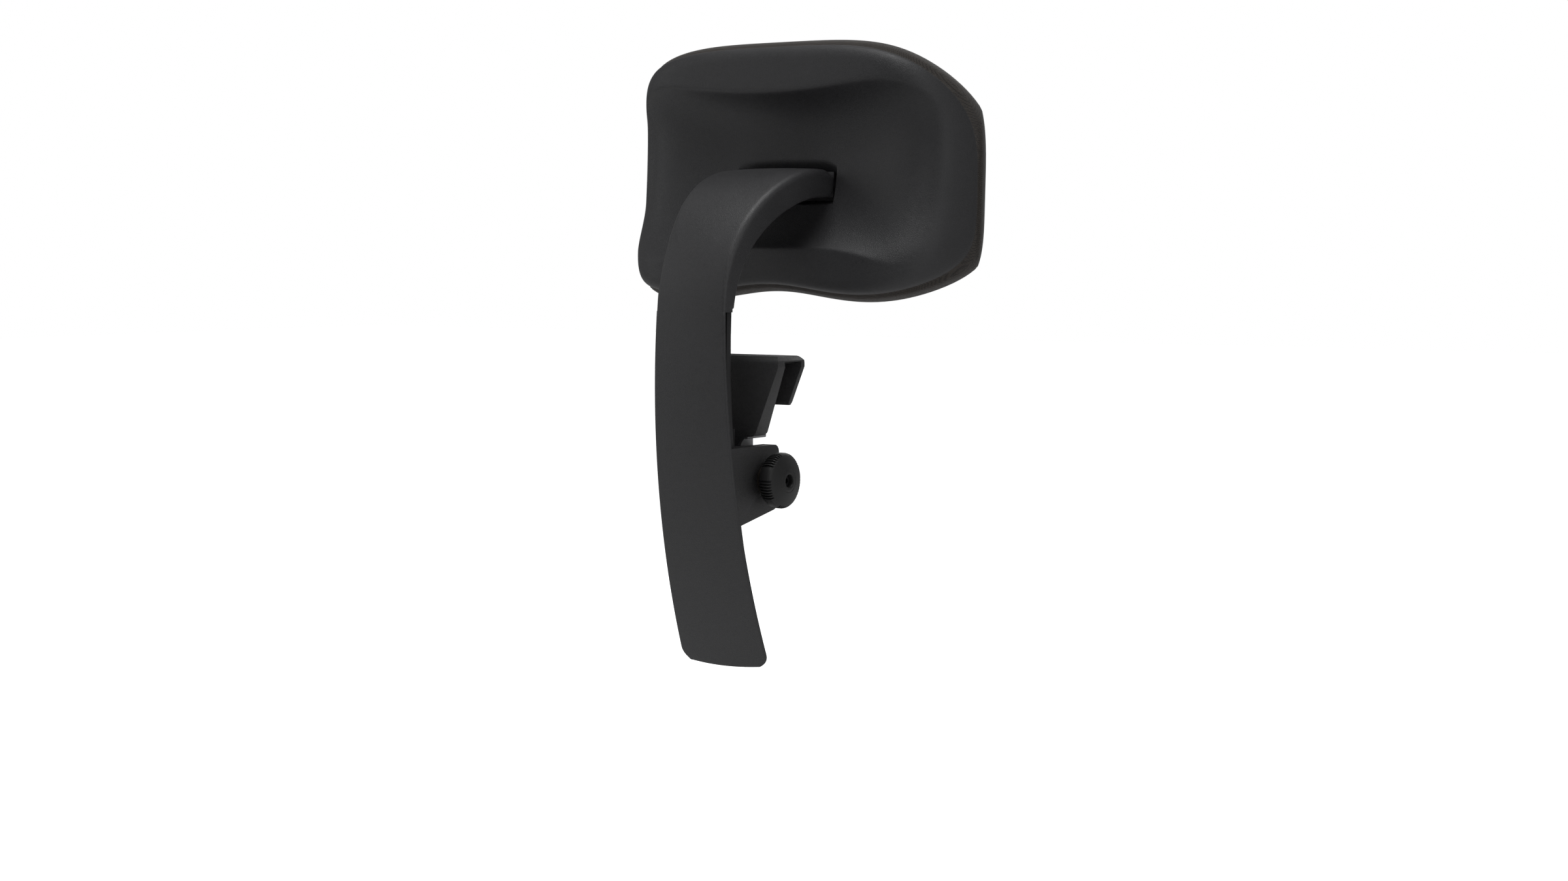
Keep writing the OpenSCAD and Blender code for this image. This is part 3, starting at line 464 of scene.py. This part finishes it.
def crease(x, v):
    """How far outside the dish's rim a place is, in millimetres."""
    u = side(x)
    upper = 49.7 + 20.6 * u**2 - 3.7 * u**4 - 54.2 * u**8
    lower = -55.3 + 7.9 * u**2 - 78.1 * u**4 + 99 * u**8
    return max(v - upper, lower - v)


def pocket_y(x, v):
    """Depth of the hinge pocket: a floor, a sloping lower wall and an arched upper wall."""
    across = min(1.0, abs(x) / 41)
    up = v - PIVOT_V
    up += 2.0 * across**2 + 5.0 * across**10 if up > 0 else 0.0
    steps = [(-50, 40), (-14.5, -2), (-11.5, -13.5), (9.5, -13.5), (11.5, -11.5), (18, -7), (20, -5),
             (44, 40)]
    depth = 60.0
    for (v0, y0), (v1, y1) in zip(steps, steps[1:]):
        if v0 <= up <= v1:
            depth = y0 + (y1 - y0) * (up - v0) / (v1 - v0)
    return PIVOT_Y + depth - 0.1


def back_y(x, v, inset):
    inside = -crease(x, v)
    inside = (inside + math.hypot(inside, 0.9)) / 2
    end = 1 - smooth((side(x) - 0.84) / 0.12)
    y = band_y(x, v) - dish_depth(x, v) * (1 - math.exp(-inside / 9)) * end
    if inset < EDGE_ROUND:
        y = GROOVE + (y - GROOVE) * math.sqrt(max(0.0, 1 - (1 - inset / EDGE_ROUND) ** 2))
    y += rim_y(x)
    wall = smooth((41.2 - abs(x)) / 0.9)
    if wall > 0 and abs(v - PIVOT_V) < 42:
        y = y + wall * (soft_min(y, pocket_y(x, v), 1.6) - y)
    return y


def spread(u, v):
    """Carries a place in a unit square to the rim: its inset from the edge, and its x and v."""
    reach = max(abs(u), abs(v))
    turn = math.atan2(v, u)
    if reach > 0.88:
        inset = EDGE_ROUND * (1 - (reach - 0.88) / 0.12) ** 1.4
        return inset, *rim_point(turn, inset)
    x, y = rim_point(turn, EDGE_ROUND)
    return 99.0, x * reach / 0.88, (y + 5) * reach / 0.88 - 5


# %% Headrest shell
bm = bmesh.new()
bmesh.ops.create_grid(bm, x_segments=230, y_segments=150, size=1.0)
insets = {}
for vert in bm.verts:
    inset, x, v = spread(vert.co.x, vert.co.y)
    insets[vert.index] = inset
    vert.co = (x, v, 0)
depth_of = bm.verts.layers.float.new("inset")
for vert in bm.verts:
    vert[depth_of] = insets[vert.index]
for x in (38, 39.5, 40.3, 40.6, 40.9, 41.2, 41.6, 43):
    for s in (-1, 1):
        geom = [*bm.verts, *bm.edges, *bm.faces]
        bmesh.ops.bisect_plane(bm, geom=geom, dist=1e-5, plane_co=(s * x, 0, 0), plane_no=(1, 0, 0))
for up in (-26, -21, -17.5, -16, -14.9, -14.2, -13.2, -12, -11.3, 9, 10, 11.5, 16.5, 18, 19.3, 20.4):
    geom = [*bm.verts, *bm.edges, *bm.faces]
    bmesh.ops.bisect_plane(bm, geom=geom, dist=1e-5, plane_co=(0, PIVOT_V + up, 0), plane_no=(0, 1, 0))
bmesh.ops.remove_doubles(bm, verts=bm.verts, dist=0.05)
flat = {v: (v.co.x, v.co.y, v[depth_of] if v[depth_of] > 0 or v.is_boundary else 99.0) for v in bm.verts}
outer = list(bm.verts)
copied = bmesh.ops.duplicate(bm, geom=[*bm.verts, *bm.edges, *bm.faces])
twins = {src: new for src, new in copied["vert_map"].items() if src in flat}
for vert, (x, v, inset) in flat.items():
    y = back_y(x, v, inset)
    vert.co = to_world(x, y, v)
    inner = min(max(y - WALL, rim_y(x) + GROOVE), y - 0.6) if inset < 14 else y - WALL
    twins[vert].co = to_world(x, y if vert.is_boundary else inner, v)
bmesh.ops.reverse_faces(bm, faces=[f for f in copied["geom"] if isinstance(f, bmesh.types.BMFace)])
bmesh.ops.remove_doubles(bm, verts=[v for v in bm.verts if v.is_boundary], dist=1e-6)
bmesh.ops.recalc_face_normals(bm, faces=bm.faces)
finished("headrest_shell", bm, "headrest", shell_finish, ["rear_shell"], sharp=50)

# %% [markdown]
# The cushion is foam under a stretched knitted cover. It swells out of the groove all round, turns over a
# full rounded edge and follows the wrap in front. It grows as a ring of edges extruded from the groove to
# the middle.

# %% Cushion cover
CUSHION_SIDE = [(-5.0, -0.012), (-1.0, -0.012), (0.4, 0.015), (2.6, 0.05), (4.2, 0.14), (4.6, 0.26),
                (3.8, 0.4), (1.6, 0.54), (-2.4, 0.68), (-8, 0.8), (-15, 0.89), (-24, 0.95)]
CUSHION_FRONT = [(0.86, 0.975), (0.66, 0.995), (0.44, 1.0), (0.2, 1.0), (0.06, 1.0)]
AROUND = 220


def cushion_point(x, v, share):
    depth = share * (PAD_DEPTH + 0.25 * rim_y(x))
    return to_world(x * (1 - depth * 0.0035 * side(x)), rim_y(x) - depth, v)


def between(values, t):
    """Catmull-Rom through a list of pairs, for rings between the drawn ones."""
    i = min(int(t), len(values) - 2)
    f = t - i
    p = [values[max(0, min(len(values) - 1, i + k))] for k in (-1, 0, 1, 2)]
    return tuple(0.5 * (2 * b + (c - a) * f + (2 * a - 5 * b + 4 * c - d) * f * f
                        + (3 * b - a - 3 * c + d) * f**3) for a, b, c, d in zip(*p))


def tray_back(inset, size):
    """A ring of the cover's back, which lies on the tray inside the shell."""
    ring = []
    for t in turns:
        x, v = rim_point(t, inset)
        x, v = x * size, (v + 5) * size - 5
        hollow = 31.5 * (1 - 0.85 * side(x) ** 2) * smooth((inset + (1 - size) * 70 - 3) / 14)
        ring.append(to_world(x, rim_y(x) - 0.3 - hollow, v))
    return ring


turns = [i * math.tau / AROUND for i in range(AROUND)]
rings = [tray_back(24, s) for s in (0.1, 0.3, 0.5, 0.7, 0.86, 1)]
rings += [tray_back(d, 1) for d in (20, 17, 13, 10, 7)]
for step in range(0, (len(CUSHION_SIDE) - 1) * 4 + 1):
    proud, share = between(CUSHION_SIDE, step / 4)
    rings.append([cushion_point(*rim_point(t, -proud), share) for t in turns])
for step in range(1, 25):
    size, share = between([(1.0, 0.95), *CUSHION_FRONT], step / 24 * len(CUSHION_FRONT))
    ring = []
    for t in turns:
        x, v = rim_point(t, 24)
        ring.append(cushion_point(x * size, (v + 5) * size - 5, share))
    rings.append(ring)
bm, first, last = loft(rings)
closed(bm, first, last)
cover = finished("knitted_cushion_cover", bm, "headrest", cover_finish, ["fabric_cover"],
                 sharp=180)


# %% Cloth coordinates of the cover
def lay_cloth(obj):
    """A UV map in millimetres along the cover: round the wrap for u, up and over the edge for v."""
    mesh = obj.data
    layer = mesh.uv_layers.new(name="cloth")
    c, s = math.cos(LEAN), math.sin(LEAN)
    for loop in mesh.loops:
        p = mesh.vertices[loop.vertex_index].co / MM
        y, z = p.y - PAD_Y, p.z - PAD_Z
        y, v = y * c + z * s, z * c - y * s
        depth = rim_y(p.x) - y
        over = smooth((abs(v + 2) - 40) / 40)
        round_end = smooth((abs(p.x) - 95) / 45)
        u = p.x * (1 + 0.18 * side(p.x) ** 2) - math.copysign(depth * 0.8 * round_end, p.x)
        layer.data[loop.index].uv = (u, v - math.copysign(depth * over, v) * (1 - 0.5 * round_end))


lay_cloth(cover)

# %% [markdown]
# The arm is one broad moulding. It comes down behind the chair as a long gentle arc, bends through a
# quarter circle and ends in a hinge barrel. Its back is slightly crowned and its long edges are rounded. It
# is a closed section carried along that path; the section changes width, thickness and corner radius as it
# goes.

# %% Path of the arm
ARC_Y, ARC_Z, ARC_R = -515.0, 5.0, 564.5
BEND_R, SEAM = 98.0, math.radians(3.33)
FOOT = math.radians(-21.5)
BEND_Y, BEND_Z = ARC_Y + (ARC_R - BEND_R) * math.cos(SEAM), ARC_Z + (ARC_R - BEND_R) * math.sin(SEAM)
INNER_Y, INNER_Z, INNER_R = -52.0, 20.5, 89.4
PLATE, FULL = 2.6, 11.4
WIDTHS = [(60, 0), (46, 0), (39, 0.07), (31.7, 0.2), (23.2, 0.37), (12.8, 0.57), (1.3, 0.74), (-10, 0.89),
          (-22, 0.97), (-36, 1), (-80, 1)]


def half_width(y, z):
    if z < BEND_Z + 6:
        foot_z = ARC_Z + ARC_R * math.sin(FOOT)
        return 27.8 + 7.7 * (38 - min(z, 38)) / (38 - foot_z)
    for (y0, s0), (y1, s1) in zip(WIDTHS, WIDTHS[1:]):
        if y1 <= y <= y0:
            return 27.8 + 10.2 * (s0 + (s1 - s0) * smooth((y0 - y) / (y0 - y1)) * 0.4
                                  + (s1 - s0) * ((y0 - y) / (y0 - y1)) * 0.6)
    return 38.0


def arm_section(back, outward, half, thick, outer_r, inner_r, crown):
    """A closed section with rounded corners and a crowned back: x across, and depth from the back."""
    points = []
    outer_r, inner_r = min(outer_r, thick * 0.6), min(inner_r, thick * 0.35)
    for i in range(17):
        x = (half - outer_r) * (1 - i / 8)
        points.append((x, crown * (x / half) ** 2))
    edge = crown * ((half - outer_r) / half) ** 2
    for i in range(1, 8):
        a = math.pi / 2 * i / 8
        points.append((-(half - outer_r) - outer_r * math.sin(a), edge + outer_r * (1 - math.cos(a))))
    points.append((-half, edge + outer_r))
    points.append((-half, thick - inner_r))
    for i in range(1, 5):
        a = math.pi / 2 * i / 4
        points.append((-half + inner_r * (1 - math.cos(a)), thick - inner_r * (1 - math.sin(a))))
    points += [((half - inner_r) * (i / 5 - 1), thick) for i in range(1, 10)]
    right = [(-x, d) for x, d in points[17:31]][::-1]
    points += right
    return [Vector((x, back[0] - outward[0] * d, back[1] - outward[1] * d)) * MM for x, d in points]


def outer_corner(z):
    """Radius of the arm's long outer edges: fuller on the bend than down the straight."""
    return 2.2 + 2.4 * smooth((z - 36) / 50)


def on_arc(radius, angle):
    return ARC_Y + radius * math.cos(angle), ARC_Z + radius * math.sin(angle)


# %% Arm, from its foot up over the bend to the barrel
CORNER = 9.0
length = (SEAM - FOOT) * ARC_R
sections = []
for up in [0.1, 0.4, 0.9, 1.6, 2.5, 3.6, 5, 6.5, 8, 9.5, *range(12, int(length) - 8, 6), length - 6,
           length - 3.1, length - 2.8, length - 2.4, length - 0.5]:
    a = FOOT + up / ARC_R
    back = on_arc(ARC_R, a)
    half = half_width(*back)
    if up < CORNER:
        half += -CORNER + math.sqrt(CORNER**2 - (CORNER - up) ** 2)
    thick = PLATE * min(1.0, 0.5 + up / 4) if up < length - 3 else FULL
    ring = arm_section(back, (math.cos(a), math.sin(a)), half, thick, 2.2, 0.5 if thick < FULL else 1.6, 1.2)
    for point in ring:
        point.z -= 1.6 * MM * max(0.0, 1 - up / 12) * (1 - min(1.0, abs(point.x) / (34 * MM)) ** 2)
    sections.append(ring)
tip = math.pi / 2 + math.asin((BEND_Y - pivot.y) / (BEND_R - 10))
for share in [0, 0.022, 0.043, 0.065, 0.087, 0.11, *[i / 92.5 for i in range(13, 88, 3)], 0.962, 0.984, 1.0]:
    a = SEAM + share * (tip - SEAM)
    outward = (math.cos(a), math.sin(a))
    back = (BEND_Y + BEND_R * outward[0], BEND_Z + BEND_R * outward[1])
    # how far in the underside lies along this radius
    toward = Vector((back[0] - INNER_Y, back[1] - INNER_Z))
    b = toward.dot(Vector(outward))
    thick = b - math.sqrt(max(0.0, b * b - toward.length_squared + INNER_R**2))
    sections.append(arm_section(back, outward, half_width(*back), thick, outer_corner(back[1]), 1.6, 1.2))
outward = (math.cos(tip), math.sin(tip))
ahead = (-outward[1], outward[0])
for e in (2.5, 5, 7, 8.5, 9.4, 9.85):
    r = math.sqrt(100 - e * e)
    centre = (pivot.y + ahead[0] * e, pivot.z + ahead[1] * e)
    back = (centre[0] + outward[0] * r, centre[1] + outward[1] * r)
    sections.append(arm_section(back, outward, 38.0, 2 * r, min(4.8, r * 0.7), min(1.6, r * 0.3),
                                1.2 * r / 10))
bm, first, last = loft(sections)
closed(bm, first, last)
bend = finished("curved_arm", bm, "arm", arm_finish, ["arm"], sharp=50)

# %% Cuts in the bend
# The hinge's ears pass through two slots in the barrel.


def cut_away(obj, bm_cutter):
    """Subtracts a cutter from the object, and throws the cutter away."""
    bmesh.ops.recalc_face_normals(bm_cutter, faces=bm_cutter.faces)
    mesh = bpy.data.meshes.new("cutter")
    bm_cutter.to_mesh(mesh)
    bm_cutter.free()
    tool = bpy.data.objects.new("cutter", mesh)
    bpy.context.scene.collection.objects.link(tool)
    modifier = obj.modifiers.new("cut", "BOOLEAN")
    modifier.operation, modifier.solver, modifier.object = "DIFFERENCE", "EXACT", tool
    applied(obj, sharp=40)
    bpy.data.objects.remove(tool)


def rod(bm, radius, x0, x1, y, z, segments=40):
    turn = Matrix.Translation(Vector(((x0 + x1) / 2, y, z)) * MM) @ Matrix.Rotation(math.pi / 2, 4, "Y")
    bmesh.ops.create_cone(bm, cap_ends=True, segments=segments, radius1=radius * MM, radius2=radius * MM,
                          depth=abs(x1 - x0) * MM, matrix=turn)


def block(bm, low, high):
    middle = Matrix.Translation((Vector(low) + Vector(high)) / 2 * MM)
    size = Matrix.Diagonal(((high[0] - low[0]) * MM, (high[1] - low[1]) * MM, (high[2] - low[2]) * MM, 1))
    bmesh.ops.create_cube(bm, size=1.0, matrix=middle @ size)


EAR_IN, EAR_OUT, EAR_R, EAR_HALF, EAR_REACH = 17.5, 25.0, 8.8, 6.4, 20
for s in (-1, 1):
    x0, x1 = sorted((s * EAR_IN, s * EAR_OUT))
    bm = bmesh.new()
    rod(bm, EAR_R, x0, x1, pivot.y, pivot.z)
    cut_away(bend, bm)
    bm = bmesh.new()
    block(bm, (x0 + 0.01, pivot.y - EAR_REACH, pivot.z - EAR_HALF), (x1 - 0.01, pivot.y, pivot.z + EAR_HALF))
    cut_away(bend, bm)


# %% [markdown]
# The hook and the clamp body are stout mouldings whose long edges catch the light. Their CAD shape is right
# but its edges are sharp, so each gets a copy: the loose triangles are merged, flat facets joined, and the
# edges bevelled.


# %% Rounded copies of CAD parts
def softened(node, name, body, finish, width, segments=3, angle=32.0, flat=1.0, sharp=40):
    bm = bmesh.new()
    bm.from_mesh(nodes[node].data)
    bmesh.ops.remove_doubles(bm, verts=bm.verts, dist=2e-6)
    bmesh.ops.dissolve_limit(bm, angle_limit=math.radians(flat), verts=bm.verts, edges=bm.edges)
    obj = finished(name, bm, body, finish, [node], sharp=sharp, recalculate=False)
    bevel = obj.modifiers.new("edges", "BEVEL")
    bevel.width, bevel.segments, bevel.limit_method = width * MM, segments, "ANGLE"
    bevel.angle_limit = math.radians(angle)
    bevel.use_clamp_overlap = True
    bevel.miter_outer = "MITER_ARC"
    applied(obj, sharp=sharp)
    print(name, "after bevel", len(obj.data.polygons), "faces")


softened("clamp_body", "clamp_housing", "bracket", hook_finish, 0.9)
softened("body_cover", "clamp_housing_lid", "bracket", rail_finish, 0.5)
softened("screw_end_cap", "screw_cap", "bracket", hook_finish, 0.6)
softened("clamp_jaw", "cast_clamp_jaw", "jaw", jaw_finish, 0.6)
softened("arm_rail", "arm_track", "arm", rail_finish, 0.5, segments=2)

# %% Hook
# The grained plate behind the rail folds over its top; broad fillets run along its top and sides.
softened("hook", "rail_hook", "bracket", hook_finish, 2.2, segments=5, angle=40)

# %% [markdown]
# The knob is turned on its own axis: a collar, a flared rim, a shallow dome and a hole for its screw. A
# spin of the half profile makes the body. Groups of fine ribs round the rim give grip, so the spin's rim is
# pressed in between.

# %% Knob
KNOB_X, SCREW_Y, SCREW_Z = -31.6, 3.5, -77.0
profile = [(4.7, 0.4), (11.4, 0.4), (12, 1.0), (12, 1.8), (12.6, 2.3), (13.6, 2.5), (15.0, 3.0), (16.6, 4.2),
           (17.8, 5.8), (18.35, 7.6), (18.5, 9.2), (18.5, 11.6), (18.25, 12.6), (17.6, 13.5), (16.6, 14.1),
           (15.0, 14.7), (12.5, 15.5), (9.5, 16.3), (7.9, 16.65), (7.6, 16.45), (7.3, 16.65), (6.0, 16.9),
           (4.9, 17.0), (4.5, 16.85), (4.3, 16.5), (4.3, 11.3), (2.2, 11.25), (2.2, 10.0), (4.7, 10.0)]
bm = bmesh.new()
verts = [bm.verts.new((0, r, h)) for r, h in profile]
for a, b in zip(verts, verts[1:] + verts[:1]):
    bm.edges.new((a, b))
bmesh.ops.spin(bm, geom=[*bm.verts, *bm.edges], cent=(0, 0, 0), axis=(0, 0, 1), angle=math.tau, steps=450,
               use_merge=True, use_duplicate=False)
bmesh.ops.remove_doubles(bm, verts=bm.verts, dist=1e-4)
for vert in bm.verts:
    r, h = math.hypot(vert.co.x, vert.co.y), vert.co.z
    if r > 15.5 and 3.5 < h < 14.3:
        angle = math.degrees(math.atan2(vert.co.y, vert.co.x)) % 72
        in_group = 1 - smooth((abs(angle - 36) - 22) / 2)
        slit = smooth((-math.cos(math.tau * angle / 6.4) + 0.1) / 0.5)
        fade = smooth((h - 3.6) / 1.2) * smooth((14.2 - h) / 1.2)
        dip = in_group * slit * 1.3 * fade
        vert.co.x *= (r - dip) / r
        vert.co.y *= (r - dip) / r
turn = Matrix.Translation(Vector((KNOB_X, SCREW_Y, SCREW_Z)) * MM) @ Matrix.Rotation(-math.pi / 2, 4, "Y")
bmesh.ops.transform(bm, matrix=turn @ Matrix.Scale(MM, 4), verts=bm.verts)
finished("clamp_knob", bm, "clamp_knob", knob_finish, ["knob"], sharp=38)

# %% [markdown]
# A plain studio: a pale floor well below the part, a white surround, one broad soft light above and behind
# the arm for the gleam on its bend, and two weaker ones so that the black plastic still shows its form.

# %% Floor, lights and surround
bm = bmesh.new()
bmesh.ops.create_grid(bm, x_segments=1, y_segments=1, size=8.0)
bmesh.ops.translate(bm, verts=bm.verts, vec=(0, 0, cad_low.z - 0.12))
mesh = bpy.data.meshes.new("studio_floor")
bm.to_mesh(mesh)
bm.free()
floor = bpy.data.objects.new("studio_floor", mesh)
bpy.context.scene.collection.objects.link(floor)
pale = bpy.data.materials.new("pale_floor")
pale.use_nodes = True
tree = pale.node_tree
skin = tree.nodes["Principled BSDF"]
skin.inputs["Base Color"].default_value = (0.85, 0.85, 0.85, 1)
skin.inputs["Roughness"].default_value = 0.9
skin.inputs["Emission Color"].default_value = (1, 1, 1, 1)
ray = add(tree, "ShaderNodeLightPath")
tree.links.new(ray.outputs["Is Camera Ray"], skin.inputs["Emission Strength"])
mesh.materials.append(pale)

world = bpy.data.worlds.new("white_surround")
bpy.context.scene.world = world
world.use_nodes = True
tree = world.node_tree
tree.nodes.clear()
seen = add(tree, "ShaderNodeBackground", {"Color": (1.0, 1.0, 1.0, 1), "Strength": 1.0})
felt = add(tree, "ShaderNodeBackground", {"Color": (1.0, 1.0, 1.0, 1), "Strength": 0.2})
ray = add(tree, "ShaderNodeLightPath")
which = add(tree, "ShaderNodeMixShader", {0: ray.outputs["Is Camera Ray"], 1: felt.outputs[0],
                                             2: seen.outputs[0]})
surround = add(tree, "ShaderNodeOutputWorld", {"Surface": which.outputs[0]})


def softbox(name, place, target, size, power):
    light = bpy.data.lights.new(name, "AREA")
    light.shape, light.size, light.size_y, light.energy = "RECTANGLE", size[0], size[1], power
    lamp = bpy.data.objects.new(name, light)
    lamp.location = place
    lamp.rotation_euler = (Vector(target) - Vector(place)).to_track_quat("-Z", "Y").to_euler()
    bpy.context.scene.collection.objects.link(lamp)
    return lamp


softbox("overhead_box", (-0.1, 0.25, 1.4), (0, 0, 0.05), (1.0, 0.8), 12)
softbox("right_box", (-1.6, 0.5, 0.5), (0, 0, 0), (0.9, 1.2), 4)
softbox("left_box", (1.5, 0.9, 0.5), (0, 0, 0.05), (0.9, 1.2), 4)
softbox("front_box", (0.3, -1.7, 0.9), (0, 0, 0.1), (1.4, 1.0), 8)

# %% [markdown]
# The camera stands behind the chair and to one side, almost level with the rail, with a long lens.

# %% Camera
cam_data = bpy.data.cameras.new("camera")
cam_data.lens, cam_data.sensor_width = 60.0, 36.0
cam_data.clip_start, cam_data.clip_end = 0.05, 60.0
camera = bpy.data.objects.new("camera", cam_data)
bpy.context.scene.collection.objects.link(camera)
camera.location = (-1.0287, 1.4094, 0.0787)
camera.rotation_mode = "QUATERNION"
camera.rotation_quaternion = Vector((0.5720, -0.8168, -0.0750)).to_track_quat("-Z", "Y")
bpy.context.scene.camera = camera
bpy.context.scene.view_settings.view_transform = "Standard"
